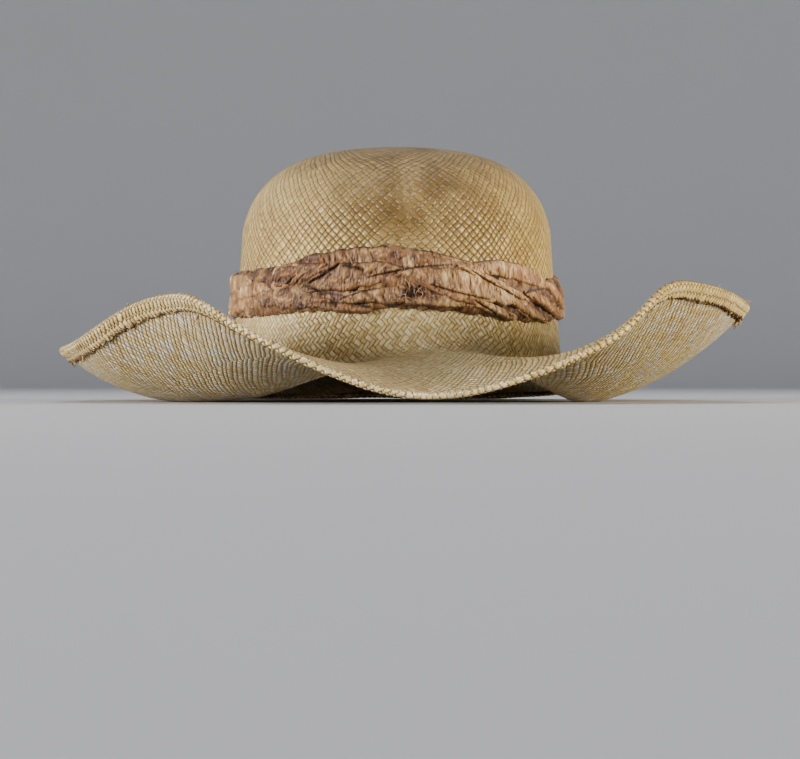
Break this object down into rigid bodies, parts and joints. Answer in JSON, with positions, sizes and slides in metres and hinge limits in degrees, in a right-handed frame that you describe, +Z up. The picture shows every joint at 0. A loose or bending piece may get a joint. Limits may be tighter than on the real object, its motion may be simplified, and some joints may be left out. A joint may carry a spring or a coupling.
{
  "type": "wide-brimmed straw fishing hat",
  "caption": "Hand-plaited straw fishing hat with a domed crown, a wide wavy brim with a folded-back hem, and a crumpled silk band",
  "frame": {"origin": "On the surface that the hat rests on, under the middle of its bounding box.", "axes": "+X is the right side of the hat as seen from the front, +Y is towards its back, and +Z is up along the crown's axis."},
  "size_m": [0.3724, 0.4166, 0.1379],
  "materials": {
    "straw": "matt plaited straw, aged and browned in places",
    "silk": "faded crumpled silk with a slight sheen"
  },
  "bodies": {
    "root": {"straw_body": "straw", "silk_band": "silk"}
  },
  "joints": []
}
